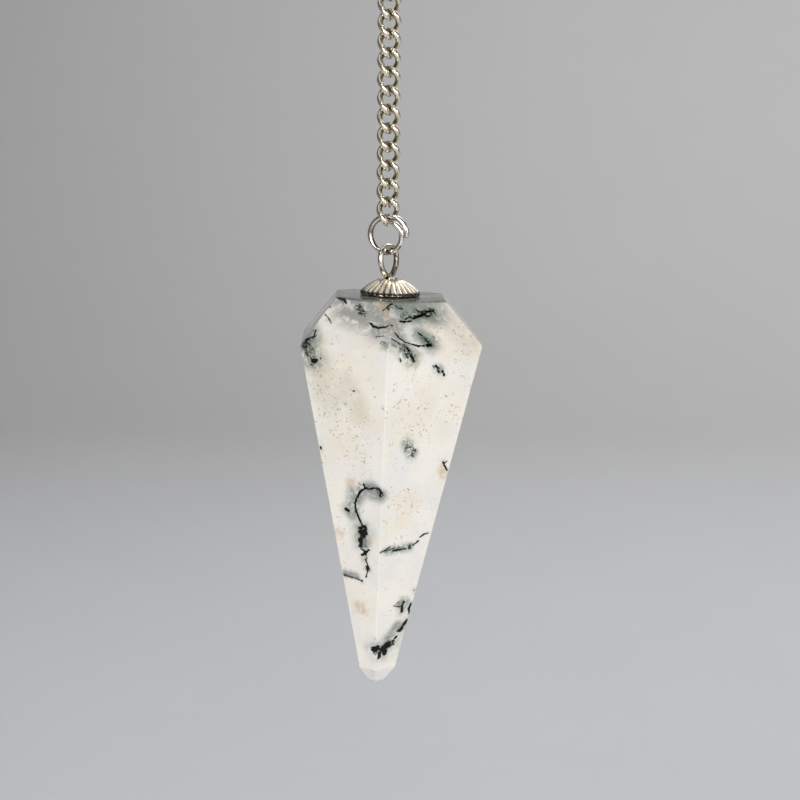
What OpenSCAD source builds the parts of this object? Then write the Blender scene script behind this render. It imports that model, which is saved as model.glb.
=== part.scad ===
// Pendulum pendant: a faceted stone point under a fluted bead cap, hung by an eye pin and a
// jump ring from a curb chain. Millimetres, +Z up. The origin is where the topmost link bears
// on what it hangs from, so everything lies below it. The wearer's side faces -Y.

/* [Chain] */
// Number of links
link_count = 13; // [2:1:20]
// Diameter of a link's wire
link_wire = 0.58; // [0.4:0.01:0.62]
// Width over a link
link_width = 2.34; // [2.1:0.01:2.6]
// Inner length of a link
link_inner = 1.81; // [1.7:0.01:2.4]
// Turn of each end of a link out of the chain's flat side, in degrees
link_twist = 50; // [44:1:54]
// How full a link's ends are: 2 is an ellipse, more is squarer
link_fullness = 2.5; // [2:0.1:3]
// Turn of the whole chain about its length, in degrees
chain_turn = 16; // [0:1:30]

/* [Jump ring] */
// Outer diameter of the jump ring
ring_outer = 4; // [3.6:0.1:5.5]
// Diameter of the ring's wire
ring_wire = 0.56; // [0.4:0.01:0.62]
// How far the ring's wire runs past one whole turn, in degrees
ring_overlap = 68; // [20:1:90]
// How far the front end is bent inwards
ring_front_bend = 0.32; // [0.1:0.01:0.4]
// How far the rear end springs outwards
ring_rear_spring = 0.28; // [0.1:0.01:0.5]
// Share of the wire's thickness that is left at its cut ends
ring_cut = 0.65; // [0.4:0.05:1]
// Clear space between the strands that lie side by side
ring_gap = 0.04; // [0.02:0.01:0.2]

/* [Eye pin] */
// Width over the eye, across its own flat side
eye_width = 3.05; // [2.6:0.05:4]
// Height of the eye's top above the stone's table
eye_height = 5.1; // [4.6:0.05:7]
// Diameter of the pin's wire
eye_wire = 0.55; // [0.4:0.01:0.6]
// Turn of the eye about its stem, in degrees
eye_turn = 52; // [40:1:90]
// Lean of the eye to the left of its stem, in degrees
eye_lean = 4.5; // [0:0.5:8]
// Height above the cap's top at which the two legs join
eye_root = 0.14; // [0.14:0.02:0.4]
// Diameter of the stem where the two legs join
stem_d = 0.76; // [0.72:0.01:1]
// Depth of the bore in the stone
bore_depth = 7; // [4:0.5:15]
// Space between the stem's end and the bore's bottom
bore_end_gap = 0.5; // [0.2:0.1:2]

/* [Bead cap] */
// Diameter of the bead cap
cap_d = 5.92; // [4.5:0.02:8]
// Height of the bead cap
cap_h = 1.58; // [1.2:0.02:2]
// Thickness of the cap's metal
cap_wall = 0.22; // [0.15:0.01:0.3]
// Number of flutes
cap_flutes = 26; // [16:1:32]
// Depth of the flutes at the rim
cap_flute_depth = 0.16; // [0.05:0.01:0.25]
// Diameter of the hole that the stem comes through
cap_hole_d = 1.3; // [1.2:0.05:1.6]

/* [Stone] */
// Width of the table across its flats
table_width = 10.54; // [8.5:0.02:12]
// Width of the girdle across its flats
girdle_width = 17.56; // [14:0.02:22]
// Width across the flats where the tip facets start
tip_width = 3.66; // [2:0.02:6]
// Width of the blunt end
end_width = 1.5; // [0.2:0.05:1.8]
// Height of the crown facets
crown_height = 4.2; // [3:0.1:6]
// Height of the long body facets
body_height = 33.9; // [20:0.1:50]
// Height of the tip facets
tip_height = 1.6; // [1:0.05:4]
// Turn of the stone about its axis, in degrees
stone_turn = 1.7; // [-10:0.1:10]

/* [How it hangs] */
// Tilt of the stone's axis, tip to the left, in degrees
hang_tilt = 1.75; // [0:0.25:4]
// How far the ring's centre lies left of the chain
ring_shift = 0.15; // [0:0.01:0.2]
// Turn of the ring about the upright, its right side to the front, in degrees
ring_turn = 22; // [18:1:30]

/* [Clearances] */
// Play between two links that hang in each other
link_play = 0.04; // [0.02:0.01:0.06]
// Play between the ring and what hangs in it
ring_play = 0.08; // [0.04:0.01:0.12]
// Radial clearance of the stem in the stone's bore
bore_clearance = 0.05; // [0.02:0.01:0.1]
// Space between the cap's rim and the table
cap_seat = 0.03; // [0.02:0.01:0.1]

/* [Hidden] */
// Hand-cut shares of the stone's nominal sizes, a row for each side, counted from the right:
// azimuth of the side, table, girdle and tip half widths, depth of the girdle's edge
SIDES = [
  // azimuth, table, girdle, tip, edge
  [0, 1.00, 1.015, 1.035, 0.97],
  [60, 1.00, 1.00, 1.00, 1.00],
  [120, 1.00, 0.995, 1.00, 1.01],
  [180, 0.99, 0.97, 0.95, 1.08],
  [240, 1.005, 1.02, 1.06, 1.00],
  [300, 1.00, 0.99, 0.94, 0.985],
];
AZIMUTH = 0;
TABLE = 1;
GIRDLE = 2;
TIP = 3;
EDGE = 4;

// The cap's outer profile from its hole to its rim:
// share of the way from the hole to the rim, share of the height, share of the flute depth
CAP_PROFILE = [
  // radius, height, flute
  [0.00, 1.00, 0.0],
  [0.24, 0.97, 0.2],
  [0.50, 0.78, 0.8],
  [0.78, 0.48, 1.0],
  [0.95, 0.27, 1.0],
  [1.00, 0.15, 0.8],
  [0.96, 0.00, 0.4],
];
RADIUS = 0;
HEIGHT = 1;
FLUTE = 2;

LINK_STEPS = 14;
LINK_SIDES = 6;
RING_STEPS = 24;
RING_SIDES = 8;
FLUTE_STEPS = 4;
STEM_SIDES = 48;
ARC_SIDES = 64;
WIRE_SIDES = 32;
// How far along a curve, in degrees, the points lie that give its direction
AHEAD = 1;

link_pitch = link_inner - link_play;
link_half_w = (link_width - link_wire) / 2;
link_half_l = (link_inner + link_wire) / 2;

ring_r = (ring_outer - ring_wire) / 2;
ring_travel = 360 + ring_overlap;
ring_lead = ring_wire + ring_gap;
// The wire's travel, in degrees, starts at its front end at the upper right and runs down, left
// and up again: where it starts, over what stretch it bends in, springs out and is cut
ring_start = 60;
front_bend_travel = 60;
rear_spring_start = 320;
rear_spring_travel = 60;
cut_travel = 14;
ring_bottom_travel = ring_start + 90;
ring_lean = atan(ring_lead / 2 / (2 * ring_r));

eye_r = (eye_width - eye_wire) / 2;
eye_top = eye_height - eye_wire / 2;
// The legs are arcs that meet over the stem
leg_drop = eye_top - eye_r - (cap_h + eye_root);
leg_r = (leg_drop * leg_drop + eye_r * eye_r) / (2 * eye_r);
leg_sweep = asin(leg_drop / leg_r);
stem_top = cap_h + eye_root;
stem_end = -bore_depth + bore_end_gap;

// Heights in the hanging object
function link_z(i) = -link_inner / 2 - i * link_pitch;
last_wire_z = link_z(link_count - 1) - link_half_l;
// The ring's wire runs over the last link's wire a little to the right of the ring's centre
ring_top_drop = ring_r - sqrt(ring_r * ring_r - ring_shift * ring_shift);
ring_z = last_wire_z + (link_wire + ring_wire) / 2 + ring_play + ring_top_drop - ring_r;
ring_low_z = ring_z - ring_r + ring_top_drop;
eye_top_z = ring_low_z + (ring_wire + eye_wire) / 2 + ring_play;

LINK_NAMES = [for (i = [1 : link_count]) str("link_", i < 10 ? "0" : "", i)];

function unit(v) = v / norm(v);

// A ring of points round the wire at p, which runs along t; n is any vector across it
function wire_ring(p, t, n, r, sides) =
  let (u = unit(cross(cross(t, n), t)), v = unit(cross(t, n)))
  [for (k = [0 : sides - 1]) p + r * (cos(360 * k / sides) * u + sin(360 * k / sides) * v)];

// Triangles between neighbouring rings of points, each ring with the same number of points
function band(a, b, sides) = [
  for (k = [0 : sides - 1])
    let (k2 = (k + 1) % sides)
    each [[a + k, b + k, b + k2], [a + k, b + k2, a + k2]]
];

function loft_faces(count, sides, closed) = concat(
  [for (i = [0 : count - (closed ? 1 : 2)]) each band(i * sides, ((i + 1) % count) * sides, sides)],
  closed ? [] : [
    [for (k = [0 : sides - 1]) k],
    [for (k = [sides - 1 : -1 : 0]) (count - 1) * sides + k]
  ]
);

module loft(rings, closed) {
  polyhedron(
    points = [for (r = rings) each r],
    faces = loft_faces(len(rings), len(rings[0]), closed),
    convexity = 8
  );
}

// A point of the twisted oval that a link's wire follows
function full(c) = sign(c) * pow(abs(c), 2 / link_fullness);
function link_turn(z) = -link_twist * sin(90 * z / link_half_l);
function link_point(a) =
  let (x = link_half_w * full(cos(a)), z = link_half_l * full(sin(a)), turn = link_turn(z))
  [x * cos(turn), x * sin(turn), z];
function link_ring(a) =
  let (p = link_point(a), turn = link_turn(p.z))
  wire_ring(p, link_point(a + AHEAD) - link_point(a - AHEAD), [-sin(turn), cos(turn), 0],
            link_wire / 2, LINK_SIDES);

module link(i) {
  color("gainsboro")
  translate([0, 0, link_z(i)])
  rotate([0, 0, chain_turn])
  loft([for (k = [0 : LINK_STEPS - 1]) link_ring(360 * (k + 0.5) / LINK_STEPS)], true);
}

// The ring's wire along its travel s from the front end to the rear end
function ease(u) = let (c = min(1, max(0, u))) c * c * (3 - 2 * c);
function ring_radius(s) = ring_r
  - ring_front_bend * pow(max(0, 1 - s / front_bend_travel), 2)
  + ring_rear_spring * ease((s - rear_spring_start) / rear_spring_travel);
function ring_point(s) =
  let (a = ring_start - s, r = ring_radius(s))
  [r * cos(a), ring_lead * (s - ring_bottom_travel) / 360, r * sin(a)];
function ring_thickness(s) =
  ring_wire * (ring_cut + (1 - ring_cut) * min(1, min(s, ring_travel - s) / cut_travel));

module jump_ring() {
  steps = ceil(RING_STEPS * ring_travel / 360);
  color("silver")
  rotate([0, 0, -ring_turn])
  translate([-ring_shift, 0, ring_z - ring_r])
  rotate([ring_lean, 0, 0])
  translate([0, 0, ring_r])
  loft([
    for (k = [0 : steps])
      let (s = ring_travel * k / steps)
      wire_ring(ring_point(s), ring_point(s + AHEAD) - ring_point(s - AHEAD), [0, 1, 0],
                ring_thickness(s) / 2, RING_SIDES)
  ], false);
}

// Places what is modelled with its table at zero and its axis upright, as it hangs in the ring
module hung() {
  translate([0, 0, eye_top_z])
  rotate([0, hang_tilt, 0])
  translate([eye_top * sin(eye_lean), 0, -eye_top * cos(eye_lean)])
  children();
}

// A round wire bent to an arc of radius r, in the plane of X and Z
module wire_arc(r, start, sweep, d) {
  rotate([90, 0, 0])
  rotate([0, 0, start])
  rotate_extrude(angle = sweep, $fn = ARC_SIDES)
  translate([r, 0])
  circle(d = d, $fn = WIRE_SIDES);
}

module eye() {
  translate([0, 0, eye_top - eye_r]) {
    wire_arc(eye_r, 0, 180, eye_wire);
    translate([eye_r - leg_r, 0, 0]) wire_arc(leg_r, -leg_sweep, leg_sweep, eye_wire);
    translate([leg_r - eye_r, 0, 0]) wire_arc(leg_r, 180, leg_sweep, eye_wire);
  }
}

module eye_pin() {
  color("silver")
  hung() {
    rotate([0, -eye_lean, 0]) rotate([0, 0, eye_turn]) eye();
    translate([0, 0, stem_end]) cylinder(d = stem_d, h = stem_top - stem_end, $fn = STEM_SIDES);
  }
}

// A point of the cap's outer surface: its radius and height at the azimuth a
function flute(a) = abs(cos(cap_flutes * a / 2)) - 1;
function sheet_point(row, a) =
  let (hole_r = cap_hole_d / 2, dent = cap_flute_depth / 2 * row[FLUTE] * flute(a))
  [hole_r + (cap_d / 2 - hole_r) * row[RADIUS] + dent,
   cap_h * row[HEIGHT] + (row[HEIGHT] > 0 ? dent : 0)];

// The sheet's section at the azimuth a: the outer profile out to the rim, then the inner one back
function cap_section(a) =
  let (outer = [for (row = CAP_PROFILE) sheet_point(row, a)], rim = outer[len(outer) - 1])
  concat(
    outer,
    [[rim[0] - cap_wall, rim[1]]],
    [
      for (i = [len(outer) - 1 : -1 : 0])
        if (outer[i][1] > 2 * cap_wall)
          [outer[i][0] - cap_wall * CAP_PROFILE[i][RADIUS], outer[i][1] - cap_wall]
    ]
  );

module bead_cap() {
  steps = cap_flutes * FLUTE_STEPS;
  color("silver")
  hung()
  translate([0, 0, cap_seat])
  loft([
    for (k = [0 : steps - 1])
      let (a = 360 * k / steps)
      [for (q = cap_section(a)) [q[0] * cos(a), q[0] * sin(a), q[1]]]
  ], true);
}

// All that lies inward of one side's crown, body and tip facets
module side_stock(side) {
  body_end = crown_height + body_height;
  reach = 2 * girdle_width;
  rotate([0, 0, side[AZIMUTH]])
  rotate([90, 0, 0])
  linear_extrude(height = reach, center = true)
  polygon([
    [-reach, 0],
    [table_width / 2 * side[TABLE], 0],
    [girdle_width / 2 * side[GIRDLE], -crown_height * side[EDGE]],
    [tip_width / 2 * side[TIP], -body_end],
    [end_width / 2, -body_end - tip_height],
    [-reach, -body_end - tip_height]
  ]);
}

module stone() {
  bore_d = stem_d + 2 * bore_clearance;
  color("whitesmoke")
  hung()
  difference() {
    rotate([0, 0, stone_turn]) intersection_for (side = SIDES) side_stock(side);
    translate([0, 0, -bore_depth]) cylinder(d = bore_d, h = 2 * bore_depth, $fn = STEM_SIDES);
  }
}

stone();
bead_cap();
eye_pin();
jump_ring();
for (i = [0 : link_count - 1]) {
  link(i);
}
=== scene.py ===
"""Looks of the pendulum pendant: a tree agate point under a fluted cap, on an eye pin, a ring and a chain.
Lengths named here are in millimetres, and MM turns them into the scene's metres. Angles are in degrees."""

import math

import bmesh
import bpy
import numpy as np
from mathutils import Matrix, Vector
from mathutils.bvhtree import BVHTree
from mathutils.kdtree import KDTree


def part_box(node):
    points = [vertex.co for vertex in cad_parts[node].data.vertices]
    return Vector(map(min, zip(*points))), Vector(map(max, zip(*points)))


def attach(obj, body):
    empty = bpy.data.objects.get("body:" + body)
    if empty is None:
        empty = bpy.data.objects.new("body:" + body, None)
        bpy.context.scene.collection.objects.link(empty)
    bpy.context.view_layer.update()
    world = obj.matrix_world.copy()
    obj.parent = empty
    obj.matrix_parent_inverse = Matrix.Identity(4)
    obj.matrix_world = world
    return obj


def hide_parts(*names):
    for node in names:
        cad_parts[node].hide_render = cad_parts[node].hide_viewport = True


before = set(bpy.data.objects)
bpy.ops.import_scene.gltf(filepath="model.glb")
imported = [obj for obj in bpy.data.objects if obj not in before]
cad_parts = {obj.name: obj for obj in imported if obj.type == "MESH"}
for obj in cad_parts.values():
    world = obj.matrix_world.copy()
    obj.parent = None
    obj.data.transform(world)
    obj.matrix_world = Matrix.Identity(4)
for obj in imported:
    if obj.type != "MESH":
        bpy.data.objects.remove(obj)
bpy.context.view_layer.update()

MM = 0.001

# The photo's view: the point looked at, the distance from it and the lens
VIEW_TARGET = (1.29, 0, -40.80)
VIEW_DISTANCE = 150
VIEW_ELEVATION = 10.52
VIEW_ROLL = 0.45
PHOTO_SIZE = 800
FOCAL_PX = 1506
SENSOR = 36

# Chain, the same sizes as the solids
LINK_COUNT = 13
LINK_WIRE = 0.58
LINK_WIDTH = 2.34
LINK_INNER = 1.81
LINK_PLAY = 0.04
LINK_TWIST = 50
LINK_FULLNESS = 2.5
CHAIN_TURN = 16

# Jump ring
RING_OUTER = 4
RING_WIRE = 0.56
RING_OVERLAP = 68
RING_FRONT_BEND = 0.32
RING_REAR_SPRING = 0.28
RING_CUT = 0.65
RING_GAP = 0.04
RING_START = 60
RING_TURN = 22
RING_SHIFT = 0.15
RING_PLAY = 0.08

# Eye pin
EYE_WIDTH = 3.05
EYE_HEIGHT = 5.1
EYE_WIRE = 0.55
EYE_TURN = 52
EYE_LEAN = 4.5
EYE_ROOT = 0.14
STEM_D = 0.76
STEM_END = -6.5

# Bead cap
CAP_D = 5.92
CAP_H = 1.58
CAP_WALL = 0.22
CAP_FLUTES = 26
CAP_FLUTE_DEPTH = 0.16
CAP_HOLE_D = 1.3
CAP_SEAT = 0.03

# How far the pendant hangs off plumb
HANG_TILT = 1.75

# Derived places in the hanging object
LINK_PITCH = LINK_INNER - LINK_PLAY
LINK_HALF_L = (LINK_INNER + LINK_WIRE) / 2
LAST_WIRE_Z = -LINK_INNER / 2 - (LINK_COUNT - 1) * LINK_PITCH - LINK_HALF_L
RING_R = (RING_OUTER - RING_WIRE) / 2
RING_DROP = RING_R - math.sqrt(RING_R ** 2 - RING_SHIFT ** 2)
RING_Z = LAST_WIRE_Z + (LINK_WIRE + RING_WIRE) / 2 + RING_PLAY + RING_DROP - RING_R
RING_LOW_Z = RING_Z - RING_R + RING_DROP
EYE_TOP_Z = RING_LOW_Z + (RING_WIRE + EYE_WIRE) / 2 + RING_PLAY
EYE_TOP = EYE_HEIGHT - EYE_WIRE / 2

# Fineness of the meshes
LINK_STEPS, LINK_SIDES = 72, 16
LINK_FINE_STEPS = 2001
RING_STEPS, RING_SIDES = 140, 24
EYE_STEPS, EYE_SIDES = 96, 24
STEM_STEPS = 12
FLUTE_STEPS = 14

# Stone: the width of its softened edges, the distance from the axis within which its upper half is bore,
# and the depth under its table down to which it is painted near black as shade
STONE_BEVEL = 0.06
BEVEL_STEPS = 3
BORE_REACH = 1
SHADE_DEPTH = 0.3
# Faces that differ by less than this angle are one facet
FLAT_ANGLE = 1
# Points closer than these are joined, before and after it is cut finely
WELD = 0.002
SLIVER = 0.002
# Longest edges of its triangles within each reach of an inked stroke, as (reach, length)
STONE_EDGES = ((0.28, 0.13), (1.0, 0.36), (math.inf, 0.9))
FAR_COARSER = 1.8
STROKE_SAMPLE = 0.1
MOST_CUTS = 12

# Backdrop
FLOOR_Z = -190
BACKDROP_Y = 1000


# The photo's camera

def view_matrix():
    """Place and turn of the photo's camera, in metres."""
    el = math.radians(VIEW_ELEVATION)
    target = Vector(VIEW_TARGET) * MM
    back = Vector((0, -math.cos(el), math.sin(el)))
    turn = back.to_track_quat("Z", "Y").to_matrix().to_4x4()
    roll = Matrix.Rotation(math.radians(VIEW_ROLL), 4, "Z")
    return Matrix.Translation(target + back * VIEW_DISTANCE * MM) @ turn @ roll


def add_camera():
    data = bpy.data.cameras.new("photo_camera")
    data.sensor_width = SENSOR
    data.lens = SENSOR * FOCAL_PX / PHOTO_SIZE
    data.clip_start = 0.001
    data.clip_end = 10
    camera = bpy.data.objects.new("photo_camera", data)
    camera.matrix_world = view_matrix()
    bpy.context.scene.collection.objects.link(camera)
    bpy.context.scene.camera = camera


def pixel_ray(x, y):
    """The ray from the photo's camera through a pixel of the photo: its origin and direction."""
    place = view_matrix()
    half = PHOTO_SIZE / 2
    direction = Vector(((x - half) / FOCAL_PX, (half - y) / FOCAL_PX, -1))
    return place.translation, (place.to_3x3() @ direction).normalized()


# Meshes

def new_piece(name, verts, faces):
    """A mesh object from points in millimetres."""
    mesh = bpy.data.meshes.new(name)
    mesh.from_pydata([tuple(c * MM for c in v) for v in verts], [], faces)
    mesh.validate()
    mesh.shade_smooth()
    piece = bpy.data.objects.new(name, mesh)
    bpy.context.scene.collection.objects.link(piece)
    return piece


def unit(v):
    return v / np.linalg.norm(v, axis=-1, keepdims=True)


def soften(u):
    """A soft step from 0 to 1."""
    u = np.clip(u, 0, 1)
    return u * u * (3 - 2 * u)


def tube(points, across, radii, sides, closed):
    """Rings of points round a wire and the faces between them. across is any vector across the wire."""
    points = np.array(points, float)
    across = np.array(across, float)
    radii = np.broadcast_to(radii, len(points))
    if closed:
        along = np.roll(points, -1, axis=0) - np.roll(points, 1, axis=0)
    else:
        along = np.gradient(points, axis=0)
    side = unit(np.cross(along, across))
    up = unit(np.cross(side, along))
    turn = np.linspace(0, 2 * math.pi, sides, endpoint=False)
    ring = np.cos(turn)[None, :, None] * up[:, None] + np.sin(turn)[None, :, None] * side[:, None]
    verts = (points[:, None] + radii[:, None, None] * ring).reshape(-1, 3)
    count = len(points)
    faces = []
    for i in range(count if closed else count - 1):
        a, b = i * sides, (i + 1) % count * sides
        faces += [(a + k, b + k, b + (k + 1) % sides, a + (k + 1) % sides) for k in range(sides)]
    if not closed:
        faces.append(tuple(range(sides)))
        faces.append(tuple((count - 1) * sides + k for k in reversed(range(sides))))
    return verts, faces


def fix_normals(piece):
    bm = bmesh.new()
    bm.from_mesh(piece.data)
    bmesh.ops.recalc_face_normals(bm, faces=bm.faces)
    bm.to_mesh(piece.data)
    bm.free()


def set_attribute(piece, name, values):
    attribute = piece.data.attributes.new(name, "FLOAT", "POINT")
    attribute.data.foreach_set("value", np.asarray(values, np.float32))


def set_inner(piece, verts, sides):
    """Mark how far each vertex of a loop of wire faces the loop's middle, from -1 to 1."""
    rings = np.asarray(verts).reshape(-1, sides, 3)
    middle = rings.mean(1, keepdims=True)
    inner = -(unit(rings - middle) * unit(middle - middle.mean(0))).sum(2).ravel()
    set_attribute(piece, "inner", np.concatenate([inner, np.zeros(len(piece.data.vertices) - len(inner))]))


def turned(points, angle, axis):
    matrix = np.array(Matrix.Rotation(math.radians(angle), 3, axis))
    return np.asarray(points) @ matrix.T


def hung(points):
    """Points with the table at zero and the axis upright, as they hang in the ring."""
    lean = math.radians(EYE_LEAN)
    shift = np.array((EYE_TOP * math.sin(lean), 0, -EYE_TOP * math.cos(lean)))
    return turned(np.asarray(points) + shift, HANG_TILT, "Y") + (0, 0, EYE_TOP_Z)


def table_height(points):
    """Heights above the stone's table of points that hang in the ring."""
    lean = math.radians(EYE_LEAN)
    return turned(np.asarray(points) - (0, 0, EYE_TOP_Z), -HANG_TILT, "Y")[:, 2] + EYE_TOP * math.cos(lean)


# The chain's links

def link_point(angle):
    """A point of the twisted oval that a link's wire follows, and its turn."""
    def full(c):
        return math.copysign(abs(c) ** (2 / LINK_FULLNESS), c)
    x = (LINK_WIDTH - LINK_WIRE) / 2 * full(math.cos(angle))
    z = LINK_HALF_L * full(math.sin(angle))
    turn = -math.radians(LINK_TWIST) * math.sin(math.pi / 2 * z / LINK_HALF_L)
    return (x * math.cos(turn), x * math.sin(turn), z), (-math.sin(turn), math.cos(turn), 0)


def even_angles(count):
    """Angles whose points lie evenly along the link's wire."""
    fine = np.linspace(0, 2 * math.pi, LINK_FINE_STEPS)
    points = np.array([link_point(a)[0] for a in fine])
    run = np.concatenate([[0], np.cumsum(np.linalg.norm(np.diff(points, axis=0), axis=1))])
    return np.interp(np.linspace(0, run[-1], count, endpoint=False), run, fine)


def add_links(material):
    angles = even_angles(LINK_STEPS)
    places = [link_point(a) for a in angles]
    points = [p for p, _ in places]
    across = [n for _, n in places]
    for i in range(LINK_COUNT):
        node = f"link_{i + 1:02d}"
        low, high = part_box(node)
        z = (low.z + high.z) / 2 / MM
        verts, faces = tube(points, across, LINK_WIRE / 2, LINK_SIDES, True)
        verts = turned(verts, CHAIN_TURN, "Z") + (0, 0, z)
        piece = new_piece(f"link_wire_{i + 1:02d}", verts, faces)
        fix_normals(piece)
        set_inner(piece, verts, LINK_SIDES)
        piece.data.materials.append(material)
        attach(piece, "chain")
        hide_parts(node)


# The jump ring

def add_ring(material):
    travel = 360 + RING_OVERLAP
    lead = RING_WIRE + RING_GAP
    bend_travel, spring_start, spring_travel, cut_travel = 60, 320, 60, 14
    points, radii = [], []
    for s in np.linspace(0, travel, RING_STEPS):
        angle = math.radians(RING_START - s)
        r = RING_R - RING_FRONT_BEND * max(0, 1 - s / bend_travel) ** 2
        r += RING_REAR_SPRING * soften((s - spring_start) / spring_travel)
        points.append((r * math.cos(angle), lead * (s - RING_START - 90) / 360, r * math.sin(angle)))
        whole = min(1, min(s, travel - s) / cut_travel)
        radii.append(RING_WIRE / 2 * (RING_CUT + (1 - RING_CUT) * math.sqrt(whole)))
    verts, faces = tube(points, np.tile((0, 1, 0), (RING_STEPS, 1)), radii, RING_SIDES, False)
    lean = math.degrees(math.atan(lead / 2 / (2 * RING_R)))
    verts = turned(verts + (0, 0, RING_R), lean, "X") + (-RING_SHIFT, 0, RING_Z - RING_R)
    piece = new_piece("ring_wire", turned(verts, -RING_TURN, "Z"), faces)
    fix_normals(piece)
    set_inner(piece, verts, RING_SIDES)
    piece.data.materials.append(material)
    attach(piece, "ring")
    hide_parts("jump_ring")


# The eye pin

def add_eye(material):
    r = (EYE_WIDTH - EYE_WIRE) / 2
    top = EYE_TOP - r
    drop = top - (CAP_H + EYE_ROOT)
    leg_r = (drop ** 2 + r ** 2) / (2 * r)
    sweep = math.asin(drop / leg_r)
    steps = EYE_STEPS // 3
    leg = [(r - leg_r + leg_r * math.cos(a), -leg_r * math.sin(a)) for a in np.linspace(0, sweep, steps)]
    arc = [(r * math.cos(a), r * math.sin(a)) for a in np.linspace(0, math.pi, steps)]
    outline = leg[::-1] + arc[1:-1] + [(-x, z) for x, z in leg]
    points = [(x, 0, z + top) for x, z in outline]
    verts, faces = tube(points, np.tile((0, 1, 0), (len(points), 1)), EYE_WIRE / 2, EYE_SIDES, False)
    verts = turned(turned(verts, EYE_TURN, "Z"), -EYE_LEAN, "Y")
    upright = [(0, 0, z) for z in np.linspace(STEM_END, CAP_H + EYE_ROOT, STEM_STEPS)]
    stem, stem_faces = tube(upright, np.tile((0, 1, 0), (STEM_STEPS, 1)), STEM_D / 2, EYE_SIDES, False)
    faces += [tuple(i + len(verts) for i in f) for f in stem_faces]
    piece = new_piece("eye_wire", hung(np.concatenate([verts, stem])), faces)
    fix_normals(piece)
    rough = np.zeros(len(piece.data.vertices))
    rough[:len(verts)] = turned(verts, EYE_LEAN, "Y") @ np.array(
        (math.cos(math.radians(EYE_TURN)), math.sin(math.radians(EYE_TURN)), 0)) / r
    set_attribute(piece, "rough_side", rough)
    set_inner(piece, verts, EYE_SIDES)
    piece.data.materials.append(material)
    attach(piece, "pendant")
    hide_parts("eye_pin")


# The bead cap: share of the way from the hole to the rim, share of the height, share of the flutes' depth
CAP_PROFILE = [
    (0.00, 0.94, 0.0),
    (0.03, 1.00, 0.0),
    (0.12, 1.00, 0.1),
    (0.24, 0.97, 0.3),
    (0.37, 0.89, 0.7),
    (0.50, 0.78, 0.9),
    (0.64, 0.64, 1.0),
    (0.78, 0.48, 1.1),
    (0.88, 0.36, 1.2),
    (0.95, 0.26, 1.2),
    (1.00, 0.15, 0.8),
    (1.00, 0.08, 0.6),
    (0.96, 0.00, 0.4),
]
# The rim band up to this height and the hole's edge up to this reach get the grooves' dark colour as painted
# shade
CAP_RIM_HEIGHT = 0.3
CAP_HOLE_REACH = 0.05


def add_cap(material):
    hole_r = CAP_HOLE_D / 2
    steps = CAP_FLUTES * FLUTE_STEPS
    verts, soil_and_shade = [], []
    for k in range(steps):
        azimuth = 2 * math.pi * k / steps
        flute = abs(math.cos(CAP_FLUTES * azimuth / 2)) - 1
        outer = []
        for reach, height, depth in CAP_PROFILE:
            dent = CAP_FLUTE_DEPTH / 2 * depth * flute
            # Outside the fluted part, at the rim band and round the hole, the mask is full: painted shade
            # there
            fluted = height > CAP_RIM_HEIGHT and reach > CAP_HOLE_REACH
            outer.append((hole_r + (CAP_D / 2 - hole_r) * reach + dent,
                          CAP_H * height + (dent if height else 0),
                          -flute * depth if fluted else 1))
        inner = [(x - CAP_WALL * row[0], z - CAP_WALL, 1) for (x, z, _), row in zip(outer, CAP_PROFILE)
                 if z > 2 * CAP_WALL]
        section = outer + [(outer[-1][0] - CAP_WALL, 0, 1)] + inner[::-1]
        verts += [(x * math.cos(azimuth), x * math.sin(azimuth), z + CAP_SEAT) for x, z, _ in section]
        soil_and_shade += [g for _, _, g in section]
    sides = len(verts) // steps
    faces = []
    for i in range(steps):
        a, b = i * sides, (i + 1) % steps * sides
        faces += [(a + k, b + k, b + (k + 1) % sides, a + (k + 1) % sides) for k in range(sides)]
    piece = new_piece("fluted_cap", hung(verts), faces)
    fix_normals(piece)
    set_attribute(piece, "soil_and_shade", soil_and_shade)
    piece.data.materials.append(material)
    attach(piece, "pendant")
    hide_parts("bead_cap")
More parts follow.
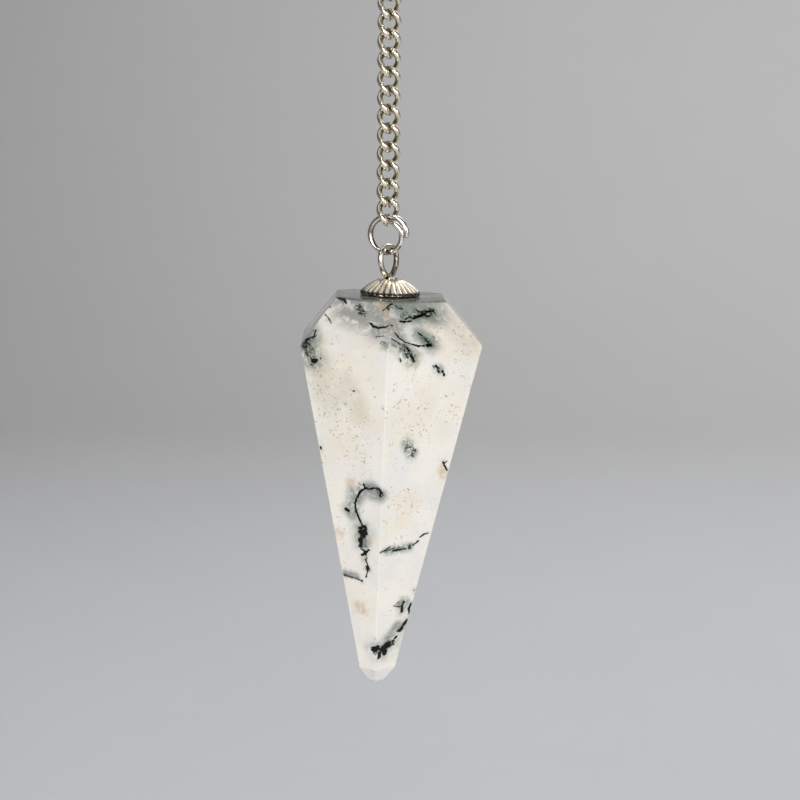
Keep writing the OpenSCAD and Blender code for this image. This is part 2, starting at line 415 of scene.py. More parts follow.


# The stone's dendrites and stains, charted as they lie on the front of the stone:
# kind, half width in millimetres, points as pixels of the photo
# Two kinds in the chart paint shade: a near-black strip down the crown's left, and a darker beige on the
# crown's right and the body's left.
CHART = [
    ("ink", 0.08, [(383, 310.5), (387, 307), (392, 304)]),
    ("ink", 0.07, [(387, 307), (389, 310)]),
    ("ink", 0.11, [(399, 321.5), (405, 322), (411, 321)]),
    ("ink", 0.10, [(406, 319), (410, 317)]),
    ("ink", 0.14, [(414, 318), (419, 316), (425, 314)]),
    ("ink", 0.10, [(421, 312), (427, 312), (433, 311)]),
    ("ink", 0.08, [(425, 317), (429, 316)]),
    ("ink", 0.10, [(416, 309), (419, 312)]),
    ("ink", 0.10, [(396, 306), (398, 308), (402, 309)]),
    ("ink", 0.11, [(370, 323), (373, 326), (378, 328), (386, 327), (392, 325.5)]),
    ("ink", 0.06, [(376, 337), (384, 336), (392, 339), (400, 344)]),
    ("ink", 0.09, [(395, 333), (399, 338), (405, 342), (412, 344.5), (418, 346), (425, 346)]),
    ("ink", 0.16, [(427, 345.5), (431, 345)]),
    ("ink", 0.10, [(407, 348.5), (409, 352)]),
    ("ink", 0.12, [(411, 355), (414, 361)]),
    ("ink", 0.07, [(404, 350), (405, 354), (408, 358)]),
    ("ink", 0.08, [(402, 344), (406, 348)]),
    ("ink", 0.07, [(400, 359), (401, 362)]),
    ("ink", 0.05, [(357, 309), (361, 311)]),
    ("ink", 0.07, [(359, 313), (363, 314)]),
    ("ink", 0.05, [(355, 306), (360, 305)]),
    ("ink", 0.05, [(362, 309), (365, 312)]),
    ("moss", 0.8, [(357, 307), (363, 314)]),
    ("ink", 0.07, [(313, 338), (315, 333), (316, 330)]),
    ("ink", 0.10, [(313, 337), (316, 336)]),
    ("ink", 0.08, [(305, 340), (312, 337)]),
    ("ink", 0.06, [(305.5, 342), (306, 349), (308, 355), (311, 358)]),
    ("ink", 0.06, [(308, 343), (312, 347), (314, 351)]),
    ("ink", 0.17, [(313, 361), (317, 360)]),
    ("ink", 0.12, [(320.5, 358.5)]),
    ("ink", 0.06, [(325, 314), (329, 319), (331, 323)]),
    ("ink", 0.09, [(327, 309), (330, 307)]),
    ("ink", 0.09, [(338, 298), (343, 300)]),
    ("ink", 0.09, [(344, 299), (347, 304)]),
    ("ink", 0.10, [(418.5, 333), (422, 336)]),
    ("ink", 0.08, [(424, 338), (426, 340), (428, 342)]),
    ("ink", 0.06, [(433, 336), (434, 338)]),
    ("ink", 0.08, [(433, 366)]),
    ("ink", 0.11, [(436, 366), (438.5, 368)]),
    ("ink", 0.10, [(438, 371), (439, 372)]),
    ("ink", 0.12, [(442.5, 371), (444, 375)]),
    ("ink", 0.07, [(353, 391), (354.5, 391)]),
    ("ink", 0.08, [(345, 404)]),
    ("ink", 0.10, [(320.5, 447), (321, 449)]),
    ("ink", 0.10, [(443, 462), (445, 466), (447, 470)]),
    ("ink", 0.06, [(444, 464), (447, 461)]),
    ("ink", 0.12, [(380, 496), (381, 492), (379, 489), (374, 488), (369, 489), (365, 488)]),
    ("ink", 0.10, [(365, 489), (364, 484)]),
    ("ink", 0.12, [(364, 489), (360, 492), (357, 498), (355, 503), (356, 511), (359, 518), (362, 525)]),
    ("ink", 0.22, [(360, 528), (364, 527)]),
    ("ink", 0.34, [(361, 532), (363, 535), (364, 531)]),
    ("ink", 0.26, [(360, 540), (361, 545)]),
    ("ink", 0.09, [(361, 549), (366, 552), (369, 550)]),
    ("ink", 0.12, [(362, 555), (366, 553)]),
    ("ink", 0.08, [(365, 559), (367, 563), (369, 568)]),
    ("ink", 0.13, [(367, 567), (368, 570)]),
    ("ink", 0.07, [(368, 570), (366, 577)]),
    ("ink", 0.19, [(346, 509), (348, 510)]),
    ("ink", 0.05, [(344, 574), (347, 576), (352, 577), (358, 579), (362, 581)]),
    ("ink", 0.11, [(345, 575)]),
    ("ink", 0.10, [(362, 581)]),
    ("ink", 0.06, [(380, 553), (385, 550), (390, 547)]),
    ("ink", 0.05, [(383, 551), (390, 550)]),
    ("ink", 0.12, [(393, 551), (397, 550)]),
    ("ink", 0.07, [(397, 550), (404, 549), (409, 547), (412, 543)]),
    ("ink", 0.09, [(413, 545), (418, 541)]),
    ("ink", 0.08, [(420, 537), (424, 534), (428, 533), (433, 534)]),
    ("ink", 0.16, [(403.5, 602), (402, 606), (401.5, 611)]),
    ("ink", 0.07, [(394, 606), (400, 607)]),
    ("ink", 0.13, [(411, 603), (409, 608), (409, 613)]),
    ("ink", 0.12, [(414, 590)]),
    ("ink", 0.16, [(407, 620), (404, 624)]),
    ("ink", 0.26, [(404, 624), (400, 630)]),
    ("ink", 0.14, [(396, 637), (393, 641)]),
    ("ink", 0.40, [(390, 644), (386, 647), (382, 650)]),
    ("ink", 0.30, [(378, 648), (374, 650)]),
    ("ink", 0.20, [(380, 653), (379, 657)]),
    ("ink", 0.22, [(386, 650), (384, 654)]),
    ("moss", 1.0, [(404, 317), (432, 312)]),
    ("moss", 0.5, [(388, 307), (400, 307)]),
    ("moss", 1.1, [(306, 342), (312, 360)]),
    ("moss", 0.5, [(313, 338), (316, 331)]),
    ("moss", 0.4, [(340, 299), (347, 302)]),
    ("moss", 0.95, [(403, 347), (412, 358)]),
    ("moss", 0.5, [(382, 343), (400, 349)]),
    ("moss", 0.6, [(420, 335), (431, 344)]),
    ("moss", 0.4, [(435, 367), (442, 372)]),
    ("moss", 1.0, [(406, 444), (413, 453)]),
    ("moss", 0.7, [(361, 485), (368, 488)]),
    ("moss", 0.6, [(378, 490), (381, 494)]),
    ("moss", 0.7, [(360, 530), (365, 548)]),
    ("moss", 0.6, [(364, 555), (368, 570)]),
    ("moss", 0.5, [(386, 551), (410, 547)]),
    ("moss", 0.7, [(398, 604), (412, 611)]),
    ("moss", 0.8, [(378, 652), (392, 642)]),
    ("moss", 0.4, [(345, 575), (362, 580)]),
    # Painted shade: near black down the crown's left edge
    ("painted_shade", 0.8, [(337, 292), (322, 309), (305, 330), (302, 344)]),
    ("grey", 1.1, [(338, 296), (322, 314), (309, 332)]),
    ("grey", 1.6, [(342, 299), (356, 301)]),
    ("grey", 1.5, [(352, 303), (376, 306), (392, 309)]),
    ("grey", 1.2, [(374, 320), (396, 320)]),
    ("grey", 2.4, [(351, 307), (363, 313)]),
    ("grey", 2.4, [(372, 314), (388, 324)]),
    ("grey", 2.0, [(398, 311), (434, 312)]),
    ("grey", 1.3, [(420, 335), (430, 342)]),
    ("grey", 1.1, [(378, 331), (398, 334)]),
    ("grey", 0.9, [(353, 492), (353, 514)]),
    ("grey", 1.0, [(372, 489), (362, 490), (355, 500)]),
    ("grey", 0.9, [(372, 494), (380, 496)]),
    ("grey", 1.4, [(318, 318), (308, 338)]),
    ("grey", 0.7, [(397, 626), (387, 641)]),
    ("grey", 0.5, [(346, 573), (356, 576)]),
    ("green", 0.8, [(386, 308), (404, 306)]),
    ("green", 0.8, [(388, 345), (402, 347)]),
    ("green", 1.2, [(402, 347), (413, 358)]),
    ("green", 1.7, [(308, 343), (312, 358)]),
    ("green", 0.8, [(407, 443), (412, 454)]),
    ("green", 0.9, [(361, 530), (364, 542)]),
    ("green", 0.6, [(386, 551), (410, 547)]),
    ("green", 1.0, [(403, 604), (411, 612)]),
    ("green", 1.3, [(410, 312), (430, 314)]),
    ("green", 0.8, [(425, 338), (429, 342)]),
    ("green", 0.7, [(438, 370)]),
    ("rust", 0.6, [(380, 303), (384, 309)]),
    ("rust", 0.35, [(385, 312), (388, 320)]),
    ("rust", 0.10, [(415, 350), (417, 356), (416, 364), (415, 372), (413, 378)]),
    ("rust", 0.18, [(393, 322), (396, 333)]),
    ("rust", 0.6, [(441, 470), (443, 476)]),
    ("rust", 0.5, [(349, 482), (352, 481)]),
    ("rust", 0.5, [(368, 537), (370, 541)]),
    ("rust", 0.8, [(358, 607), (363, 609)]),
    ("rust", 0.5, [(364, 559)]),
    ("rust", 0.6, [(337, 532), (340, 534)]),
    ("speck", 3.2, [(325, 385), (352, 430)]),
    ("speck", 2.2, [(405, 405), (425, 425)]),
    ("speck", 1.4, [(445, 410), (455, 415)]),
    ("speck", 1.5, [(460, 360), (470, 375)]),
    ("speck", 2.2, [(440, 320), (462, 330)]),
    ("speck", 1.6, [(345, 445), (360, 460)]),
    ("speck", 1.6, [(395, 495), (410, 510)]),
    ("warm", 4.5, [(340, 370), (352, 430)]),
    ("warm", 4.0, [(440, 322), (462, 335)]),
    # A beige tone, darkened as painted shade on the crown's right and the body's left
    ("tan_and_shade", 2.4, [(446, 312), (470, 336)]),
    ("tan_and_shade", 2.0, [(322, 366), (330, 400)]),
    ("tan_and_shade", 1.6, [(345, 384), (358, 412)]),
    ("warm", 3.0, [(400, 420), (440, 400)]),
    ("warm", 2.5, [(355, 455)]),
    ("warm", 3.0, [(400, 510)]),
    ("warm", 3.0, [(345, 585)]),
]
KINDS = ("ink", "halo", "moss", "painted_shade", "grey", "green", "rust", "speck", "warm", "tan_and_shade")
# How far a dark cloud reaches past a stroke, in half widths, and the half width from which it is full
HALO = 4.5
HALO_FULL = 0.2
# How far a cloud or stain reaches, in half widths
CLOUD_REACH = 1.3

# Dendrites of the far side, which the photo doesn't show: how many of each kind, the length of a step
# and the usual turn after it in radians
FAR_SEED = 7
FAR_STROKES = 24
FAR_CLOUDS = 14
FAR_STEP = 0.55
FAR_TURN = 0.9
# Their half widths and how often each comes, and the half width up to which a stroke has no moss
FAR_HALVES = [0.07, 0.1, 0.14, 0.26]
FAR_SHARES = [0.4, 0.3, 0.2, 0.1]
FAR_BARE_HALF = 0.08
# How far moss and green reach round a stroke, in half widths
FAR_MOSS = 5
FAR_GREEN = 6
# How far from the axis the search for the stone's surface starts
FAR_OUTSIDE = 20


def stone_mesh():
    """The stone's solid in triangles, with its outer edges softened and its bore left sharp."""
    bm = bmesh.new()
    bm.from_mesh(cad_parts["stone"].data)
    bmesh.ops.remove_doubles(bm, verts=bm.verts, dist=WELD * MM)
    bmesh.ops.dissolve_limit(bm, angle_limit=math.radians(FLAT_ANGLE), verts=bm.verts, edges=bm.edges)
    bmesh.ops.recalc_face_normals(bm, faces=bm.faces)
    low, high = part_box("stone")
    middle = (low.z + high.z) / 2
    cut = [edge for edge in bm.edges if any(
        v.co.z <= middle or math.hypot(v.co.x, v.co.y) >= BORE_REACH * MM for v in edge.verts)]
    bmesh.ops.bevel(bm, geom=cut, offset=STONE_BEVEL * MM, segments=BEVEL_STEPS, profile=0.5, affect="EDGES")
    bmesh.ops.triangulate(bm, faces=bm.faces)
    return bm


def cut_finely(bm, strokes):
    """Cuts the stone's edges down: most beside its inked strokes, and less on the far side."""
    samples = []
    for kind, half, places in strokes:
        if kind != "ink":
            continue
        samples.append(places[0])
        for a, b in zip(places, places[1:]):
            count = max(1, round((b - a).length / (STROKE_SAMPLE * MM)))
            samples += [a.lerp(b, (k + 1) / count) for k in range(count)]
    near = KDTree(len(samples))
    for i, place in enumerate(samples):
        near.insert(place, i)
    near.balance()
    for _ in range(MOST_CUTS):
        long_edges = []
        for edge in bm.edges:
            length = edge.calc_length() / MM
            place, _, distance = near.find((edge.verts[0].co + edge.verts[1].co) / 2)
            gap = distance / MM - length / 2
            limit = next(limit for reach, limit in STONE_EDGES if gap < reach)
            if length > limit * (FAR_COARSER if place.y > 0 else 1):
                long_edges.append(edge)
        if not long_edges:
            break
        bmesh.ops.subdivide_edges(bm, edges=long_edges, cuts=1)
        bmesh.ops.triangulate(bm, faces=[f for f in bm.faces if len(f.verts) > 3])
    bmesh.ops.remove_doubles(bm, verts=bm.verts, dist=SLIVER * MM)
    bmesh.ops.dissolve_degenerate(bm, dist=SLIVER * MM, edges=bm.edges)
    bmesh.ops.triangulate(bm, faces=[f for f in bm.faces if len(f.verts) > 3])


def near_strokes(tree):
    """The chart's strokes cast onto the stone from the photo's camera, in metres."""
    strokes = []
    for kind, half, pixels in CHART:
        places = []
        for x, y in pixels:
            hit = tree.ray_cast(*pixel_ray(x, y))[0]
            if hit is not None:
                places.append(hit)
        if places:
            strokes.append((kind, half, places))
    return strokes


def far_strokes(tree, low, high):
    """Wandering strokes and soft clouds on the far side, in metres."""
    rng = np.random.default_rng(FAR_SEED)
    strokes = []
    for i in range(FAR_STROKES + FAR_CLOUDS):
        azimuth = rng.uniform(10, 170)
        z = rng.uniform(low.z, high.z)
        out = Vector((math.cos(math.radians(azimuth)), math.sin(math.radians(azimuth)), 0))
        hit, normal = tree.find_nearest(Vector((0, 0, z)) + out * (FAR_OUTSIDE * MM))[:2]
        if i >= FAR_STROKES:
            kind = rng.choice(["grey", "green", "speck"])
            strokes.append((kind, rng.uniform(0.8, 2.2), [hit]))
            continue
        heading = rng.uniform(0, 2 * math.pi)
        places = [hit]
        for _ in range(rng.integers(1, 8)):
            heading += rng.normal(0, FAR_TURN)
            side = normal.cross(Vector((0, 0, 1))).normalized()
            up = side.cross(normal)
            move = side * math.cos(heading) + up * math.sin(heading)
            hit, normal = tree.find_nearest(places[-1] + move * FAR_STEP * MM)[:2]
            places.append(hit)
        half = rng.choice(FAR_HALVES, p=FAR_SHARES)
        strokes.append(("ink", half, places))
        if half > FAR_BARE_HALF:
            strokes.append(("moss", FAR_MOSS * half, places))
            strokes.append(("green", FAR_GREEN * half, places))
    return strokes


def distance_to(points, places):
    """Distance of each point from a stroke, in millimetres."""
    best = np.full(len(points), np.inf)
    places = np.array([tuple(p) for p in places])
    for a, b in zip(places, places[1:] if len(places) > 1 else places):
        along = b - a
        size = along @ along
        share = np.clip((points - a) @ along / size, 0, 1) if size else np.zeros(len(points))
        best = np.minimum(best, np.linalg.norm(points - a - share[:, None] * along, axis=1))
    return best / MM


def add_stone(material):
    bm = stone_mesh()
    tree = BVHTree.FromBMesh(bm)
    strokes = near_strokes(tree) + far_strokes(tree, *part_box("stone"))
    cut_finely(bm, strokes)
    mesh = bpy.data.meshes.new("agate_point")
    bm.to_mesh(mesh)
    bm.free()
    piece = bpy.data.objects.new("agate_point", mesh)
    bpy.context.scene.collection.objects.link(piece)
    count = len(mesh.vertices)
    points = np.empty(count * 3)
    mesh.vertices.foreach_get("co", points)
    points = points.reshape(-1, 3)
    fields = {kind: np.full(count, -2.0 if kind == "ink" else 0.0) for kind in KINDS}
    for kind, half, places in strokes:
        distance = distance_to(points, places)
        if kind == "ink":
            fields["ink"] = np.maximum(fields["ink"], 1 - distance / half)
            halo = soften(1 - (distance - half) / (HALO * half)) * min(1, half / HALO_FULL)
            fields["halo"] = np.maximum(fields["halo"], halo)
        else:
            fields[kind] = np.maximum(fields[kind], soften(CLOUD_REACH - distance / half))
    fields["table_height"] = table_height(points / MM)
    for kind, values in fields.items():
        set_attribute(piece, kind, values)
    mesh.materials.append(material)
    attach(piece, "pendant")
    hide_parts("stone")


# Materials

class Nodes:
    """A short way to write a material's nodes."""

    def __init__(self, name):
        self.material = bpy.data.materials.new(name)
        self.material.use_nodes = True
        self.tree = self.material.node_tree
        self.shader = self.tree.nodes["Principled BSDF"]
        self.place = self.add("ShaderNodeTexCoord").outputs["Object"]

    def add(self, kind, **settings):
        node = self.tree.nodes.new(kind)
        for key, value in settings.items():
            setattr(node, key, value)
        return node

    def put(self, socket, value):
        if isinstance(value, bpy.types.NodeSocket):
            self.tree.links.new(value, socket)
        else:
            socket.default_value = value

    def math(self, operation, a, b=0.0):
        node = self.add("ShaderNodeMath", operation=operation)
        self.put(node.inputs[0], a)
        self.put(node.inputs[1], b)
        return node.outputs[0]

    def noise(self, size, detail=3.0, roughness=0.55, shift=0.0, distortion=0.0):
        """Noise whose features measure about size millimetres."""
        mapping = self.add("ShaderNodeMapping")
        mapping.inputs["Location"].default_value = (shift, shift * 0.7, shift * 0.3)
        self.put(mapping.inputs["Vector"], self.place)
        node = self.add("ShaderNodeTexNoise")
        self.put(node.inputs["Vector"], mapping.outputs[0])
        node.inputs["Scale"].default_value = 1 / (size * MM)
        node.inputs["Detail"].default_value = detail
        node.inputs["Roughness"].default_value = roughness
        node.inputs["Distortion"].default_value = distortion
        return node.outputs["Fac"]

    def ramp(self, value, low, high, to_low=0.0, to_high=1.0):
        """A soft step from to_low to to_high as the value goes from low to high."""
        node = self.add("ShaderNodeMapRange", interpolation_type="SMOOTHSTEP")
        self.put(node.inputs["Value"], value)
        node.inputs["From Min"].default_value = low
        node.inputs["From Max"].default_value = high
        node.inputs["To Min"].default_value = to_low
        node.inputs["To Max"].default_value = to_high
        return node.outputs["Result"]

    def mix(self, share, a, b):
        """Colour a with a share of colour b."""
        node = self.add("ShaderNodeMix", data_type="RGBA")
        self.put(node.inputs["Factor"], share)
        self.put(node.inputs["A"], a)
        self.put(node.inputs["B"], b)
        return node.outputs["Result"]

    def attribute(self, name):
        return self.add("ShaderNodeAttribute", attribute_name=name).outputs["Fac"]

    def bump(self, height, strength, distance):
        node = self.add("ShaderNodeBump")
        node.inputs["Strength"].default_value = strength
        node.inputs["Distance"].default_value = distance * MM
        self.put(node.inputs["Height"], height)
        return node.outputs["Normal"]


WHITE = (0.78, 0.745, 0.685, 1)
COOL_WHITE = (0.71, 0.70, 0.67, 1)
WARM_WHITE = (0.74, 0.675, 0.57, 1)
# Darker beige, partly the stone's tone and partly painted shade
TAN_AND_SHADE = (0.56, 0.515, 0.42, 1)
GRAIN = (0.56, 0.51, 0.44, 1)
CLOUD_GREY = (0.25, 0.26, 0.24, 1)
# Near black, for the painted shade on the table and the crown's left edge
SHADE_BLACK = (0.085, 0.085, 0.08, 1)
MOSS_GREEN = (0.13, 0.19, 0.14, 1)
RUST = (0.53, 0.39, 0.25, 1)
OLIVE_SPECK = (0.25, 0.20, 0.11, 1)
HALO_GREY = (0.22, 0.245, 0.215, 1)
INK_BLACK = (0.002, 0.003, 0.003, 1)
INK_GREEN = (0.014, 0.026, 0.018, 1)
AGATE_IOR = 1.54


def agate():
    """Polished white tree agate with ink-like dendrites, green clouds and rusty stains."""
    n = Nodes("tree_agate")
    colour = n.mix(n.ramp(n.noise(4.5, 3, shift=2.0), 0.36, 0.66), WHITE, COOL_WHITE)
    cloudy = n.math("ADD", n.noise(2.6, 4, shift=9.0), n.math("MULTIPLY", n.attribute("warm"), 0.22))
    colour = n.mix(n.ramp(cloudy, 0.50, 0.86, 0, 0.8), colour, WARM_WHITE)
    # Beige tone and painted shade on the charted facets, broken up by noise
    tan_and_shade = n.math("MULTIPLY", n.attribute("tan_and_shade"), n.ramp(n.noise(1.6, 4, 0.65, shift=12.0), 0.25, 0.6))
    colour = n.mix(n.math("MULTIPLY", tan_and_shade, 0.6), colour, TAN_AND_SHADE)
    grain = n.noise(0.4, 5, 0.75, shift=5.0)
    colour = n.mix(n.ramp(grain, 0.48, 0.78, 0, 0.3), colour, GRAIN)
    veil = n.noise(1.0, 5, 0.68, shift=4.0, distortion=0.5)
    grey = n.math("MULTIPLY", n.attribute("grey"), n.ramp(veil, 0.24, 0.54))
    colour = n.mix(n.math("MULTIPLY", grey, 0.9), colour, CLOUD_GREY)
    # Painted shade: near black over the table and just under it, and on the charted strip down the crown's
    # left, broken up by noise
    table = n.ramp(n.attribute("table_height"), -SHADE_DEPTH, -0.03)
    painted_shade = n.math("MAXIMUM", n.attribute("painted_shade"), table)
    painted_shade = n.math("MULTIPLY", painted_shade, n.ramp(n.noise(2.2, 4, 0.65, shift=90.0), 0.34, 0.60, 0.62, 0.93))
    colour = n.mix(painted_shade, colour, SHADE_BLACK)
    moss_noise = n.noise(0.7, 5, 0.7, shift=14.0, distortion=0.8)
    green = n.math("MULTIPLY", n.attribute("green"), n.ramp(moss_noise, 0.30, 0.62))
    colour = n.mix(n.math("MULTIPLY", green, 0.8), colour, MOSS_GREEN)
    rust = n.math("MULTIPLY", n.attribute("rust"), n.ramp(n.noise(0.5, 5, 0.7, shift=21.0), 0.32, 0.60))
    colour = n.mix(n.math("MULTIPLY", rust, 0.7), colour, RUST)
    speck = n.math("MULTIPLY", specks(n), n.ramp(veil, 0.3, 0.6, 0.3, 0.8))
    colour = n.mix(speck, colour, OLIVE_SPECK)
    halo = n.math("MULTIPLY", n.attribute("halo"), n.ramp(veil, 0.30, 0.66, 0.1, 0.62))
    colour = n.mix(halo, colour, HALO_GREY)
    ink = n.mix(n.ramp(moss_noise, 0.50, 0.72), INK_BLACK, INK_GREEN)
    colour = n.mix(n.ramp(inked(n), -0.15, 0.15), colour, ink)
    n.put(n.shader.inputs["Base Color"], colour)
    n.put(n.shader.inputs["Roughness"], n.ramp(n.noise(1.2, 3, shift=50.0), 0.3, 0.7, 0.06, 0.15))
    n.shader.inputs["IOR"].default_value = AGATE_IOR
    n.shader.inputs["Specular IOR Level"].default_value = 0.18
    n.shader.inputs["Subsurface Weight"].default_value = 0.12
    n.shader.inputs["Subsurface Radius"].default_value = (1.0, 0.85, 0.7)
    n.shader.inputs["Subsurface Scale"].default_value = 0.4 * MM
    n.put(n.shader.inputs["Normal"], n.bump(n.noise(3.5, 3, shift=60.0), 0.2, 0.1))
    return n.material


def specks(n):
    """Tiny olive and brown dots and curls, thick in the charted places and thin elsewhere."""
    spacing = 0.42
    dots = n.add("ShaderNodeTexVoronoi")
    n.put(dots.inputs["Vector"], n.place)
    dots.inputs["Scale"].default_value = 1 / (spacing * MM)
    size = n.math("MULTIPLY", n.noise(0.5, 2, shift=35.0), 0.44)
    dot = n.ramp(n.math("SUBTRACT", size, dots.outputs["Distance"]), 0.0, 0.10)
    some = n.math("ADD", n.noise(1.1, 4, 0.7, shift=31.0), n.math("MULTIPLY", n.attribute("speck"), 0.18))
    worm = n.math("SUBTRACT", n.noise(0.45, 3, 0.6, shift=71.0, distortion=0.6), 0.5)
    worm = n.math("SUBTRACT", 1.0, n.math("MULTIPLY", n.math("ABSOLUTE", worm), 26.0))
    worm = n.math("MULTIPLY", n.ramp(worm, 0.0, 0.5), n.ramp(n.noise(0.55, 2, shift=75.0), 0.58, 0.64))
    return n.math("MULTIPLY", n.math("MAXIMUM", dot, worm), n.ramp(some, 0.50, 0.64))


def inked(n):
    """Above zero on the dendrites: the charted strokes with ragged edges, and fibres in mossy places."""
    ragged = n.math("SUBTRACT", n.noise(0.28, 5, 0.75, shift=40.0), 0.5)
    uneven = n.math("SUBTRACT", n.noise(0.7, 3, 0.6, shift=42.0), 0.5)
    stroke = n.math("ADD", n.attribute("ink"), n.math("MULTIPLY", ragged, 3.4))
    stroke = n.math("ADD", stroke, n.math("MULTIPLY", uneven, 2.6))
    wave = n.noise(0.42, 5, 0.75, shift=44.0, distortion=1.0)
    ridge = n.math("MULTIPLY", n.math("ABSOLUTE", n.math("SUBTRACT", wave, 0.5)), -30.0)
    clump = n.math("MULTIPLY", n.math("SUBTRACT", n.noise(0.8, 4, 0.7, shift=47.0), 0.5), 8.0)
    inside = n.math("MULTIPLY", n.math("SUBTRACT", n.attribute("moss"), 0.82), 5.0)
    fibre = n.math("ADD", n.math("ADD", ridge, clump), inside)
    return n.math("MAXIMUM", stroke, fibre)


# Soil in the cap's flute grooves, and painted shade on its rim band and round its hole
CAP_SOIL_AND_SHADE = (0.07, 0.055, 0.04, 1)
FLAKE_SOIL = (0.07, 0.055, 0.035, 1)
# Painted shade on the sides of the wires that face into their loops
LOOP_SHADE = (0.13, 0.105, 0.07, 1)


def metal(name, tone, dark, gloss, rough_side=False, soil_and_shade=False):
    """Bright plated metal, rubbed, with painted shade on the sides of its wires that face into their loops;
    where asked, soil in its grooves and painted shade on its rim band and round its hole.
    """
    n = Nodes(name)
    smear = n.noise(0.8, 4, 0.6, shift=3.0)
    colour = n.mix(n.ramp(smear, 0.40, 0.78, 0, 0.5), tone, dark)
    if soil_and_shade:
        # Soil in the flutes' grooves, and painted shade on the rim band and round the hole
        soil_and_shade_mask = n.math("ADD", n.attribute("soil_and_shade"), n.math("MULTIPLY", n.math("SUBTRACT", smear, 0.5), 0.7))
        colour = n.mix(n.ramp(soil_and_shade_mask, 0.78, 1.02, 0, 0.95), colour, CAP_SOIL_AND_SHADE)
    # Painted shade: darker on the sides of each wire that face its loop's middle, shifted by the smear noise
    inside = n.math("ADD", n.attribute("inner"), n.math("MULTIPLY", n.math("SUBTRACT", smear, 0.5), 1.2))
    colour = n.mix(n.ramp(inside, 0.1, 0.9, 0, 0.85), colour, LOOP_SHADE)
    n.shader.inputs["Metallic"].default_value = 1.0
    n.put(n.shader.inputs["Roughness"], n.ramp(smear, 0.3, 0.7, gloss, gloss + 0.12))
    height = n.math("MULTIPLY", n.noise(0.35, 3, 0.6, shift=8.0), 0.06)
    if rough_side:
        flake = n.noise(0.16, 3, 0.75, shift=17.0)
        where = n.ramp(n.attribute("rough_side"), 0.1, 0.5)
        height = n.math("ADD", height, n.math("MULTIPLY", flake, where))
        colour = n.mix(n.math("MULTIPLY", n.ramp(flake, 0.50, 0.56), where), colour, FLAKE_SOIL)
    n.put(n.shader.inputs["Base Color"], colour)
    n.put(n.shader.inputs["Normal"], n.bump(height, 0.5, 0.12))
    return n.material


# Paper colours from front to far: the darker far colour is painted shade, the bluish near one painted light
PAPER_FRONT = (0.66, 0.66, 0.66, 1)
PAPER_NEAR = (0.68, 0.69, 0.72, 1)
PAPER_FAR = (0.535, 0.535, 0.53, 1)
PAPER_FAINT = (0.4, 0.4, 0.4, 1)


def backdrop_paper():
    """Pale paper, painted darker further back where it rises behind, as painted shade. Its depths are in
    metres.
    """
    n = Nodes("backdrop_paper")
    depth = n.add("ShaderNodeSeparateXYZ")
    n.put(depth.inputs[0], n.place)
    front, near, far = -0.1, 0.2, 0.85
    colour = n.mix(n.ramp(depth.outputs["Y"], near, far), PAPER_NEAR, PAPER_FAR)
    colour = n.mix(n.ramp(depth.outputs["Y"], front, near), PAPER_FRONT, colour)
    faint = n.ramp(n.noise(60, 3), 0.3, 0.7, 0, 0.04)
    n.put(n.shader.inputs["Base Color"], n.mix(faint, colour, PAPER_FAINT))
    n.shader.inputs["Roughness"].default_value = 0.8
    return n.material


# Floor, lights and world

def add_backdrop():
    """A pale floor that sweeps up into a backdrop far behind."""
    half_width, near, sweep_r, top, sweep_steps = 1800, -1200, 300, 1400, 16
    profile = [(near, 0), (BACKDROP_Y - sweep_r, 0)]
    for a in np.linspace(0, math.pi / 2, sweep_steps)[1:]:
        profile.append((BACKDROP_Y - sweep_r + sweep_r * math.sin(a), sweep_r * (1 - math.cos(a))))
    profile.append((BACKDROP_Y, top))
    verts = [(x, y, z + FLOOR_Z) for y, z in profile for x in (-half_width, half_width)]
    faces = [(2 * i, 2 * i + 1, 2 * i + 3, 2 * i + 2) for i in range(len(profile) - 1)]
    piece = new_piece("floor", verts, faces)
    piece.data.materials.append(backdrop_paper())


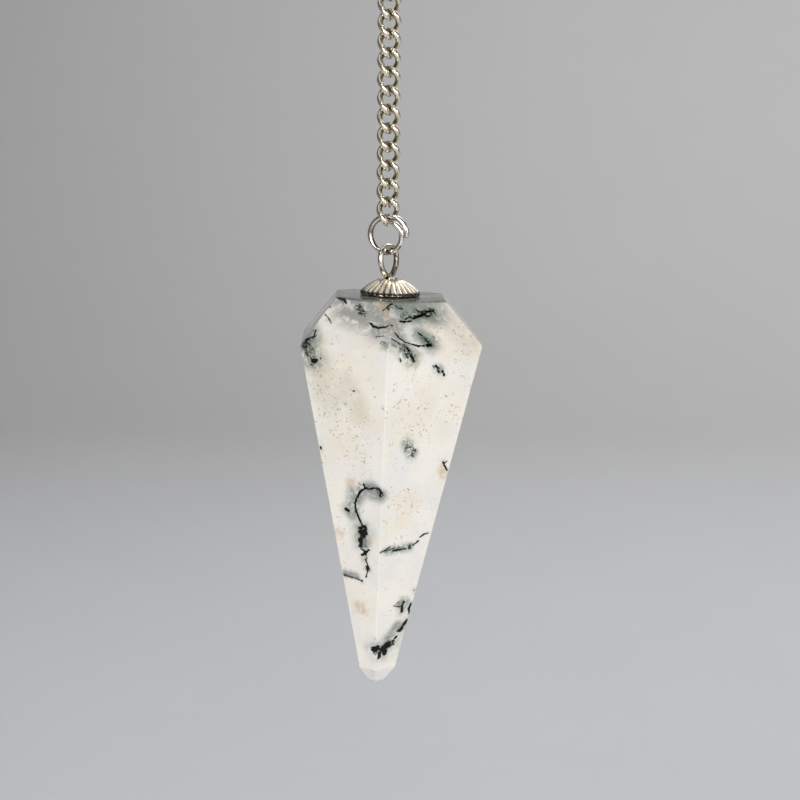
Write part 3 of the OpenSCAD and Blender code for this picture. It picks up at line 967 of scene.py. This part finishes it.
def add_area(name, place, size, power, target=VIEW_TARGET):
    data = bpy.data.lights.new(name, "AREA")
    data.shape = "RECTANGLE"
    data.size, data.size_y = (s * MM for s in size)
    data.energy = power
    light = bpy.data.objects.new(name, data)
    light.location = Vector(place) * MM
    toward = (Vector(target) - Vector(place)).normalized()
    light.rotation_euler = toward.to_track_quat("-Z", "Y").to_euler()
    bpy.context.scene.collection.objects.link(light)


WORLD_COLOUR = (0.66, 0.67, 0.69, 1)


def light_world(tree):
    """Soft grey surroundings, darker towards the ceiling."""
    place = tree.nodes.new("ShaderNodeTexCoord")
    height = tree.nodes.new("ShaderNodeSeparateXYZ")
    tree.links.new(place.outputs["Generated"], height.inputs[0])
    fade = tree.nodes.new("ShaderNodeMapRange")
    tree.links.new(height.outputs["Z"], fade.inputs["Value"])
    fade.inputs["From Min"].default_value = 0.3
    fade.inputs["From Max"].default_value = 0.8
    fade.inputs["To Min"].default_value = 0.29
    fade.inputs["To Max"].default_value = 0.06
    background = tree.nodes["Background"]
    tree.links.new(fade.outputs["Result"], background.inputs["Strength"])
    background.inputs["Color"].default_value = WORLD_COLOUR


def add_lights():
    add_area("key", (-60, -490, 50), (320, 240), 1.98)
    add_area("fill", (360, -340, 0), (180, 240), 0.62)
    add_area("high", (-110, -300, 300), (90, 90), 0.2)
    add_area("top", (0, 40, 420), (620, 420), 0.55)
    add_area("backdrop", (450, 420, 620), (1200, 300), 5.9, target=(250, BACKDROP_Y, 0))
    bpy.context.scene.view_settings.view_transform = "Standard"
    world = bpy.data.worlds.new("studio")
    world.use_nodes = True
    light_world(world.node_tree)
    bpy.context.scene.world = world


add_camera()
add_backdrop()
add_lights()
chain_metal = metal("chain_metal", (0.90, 0.83, 0.69, 1), (0.42, 0.36, 0.26, 1), 0.16)
ring_metal = metal("ring_metal", (0.86, 0.825, 0.765, 1), (0.42, 0.38, 0.32, 1), 0.1)
eye_metal = metal("eye_metal", (0.90, 0.84, 0.72, 1), (0.36, 0.31, 0.22, 1), 0.12, rough_side=True)
cap_metal = metal("cap_metal", (0.85, 0.78, 0.62, 1), (0.42, 0.36, 0.25, 1), 0.18, soil_and_shade=True)
add_links(chain_metal)
add_ring(ring_metal)
add_eye(eye_metal)
add_cap(cap_metal)
add_stone(agate())
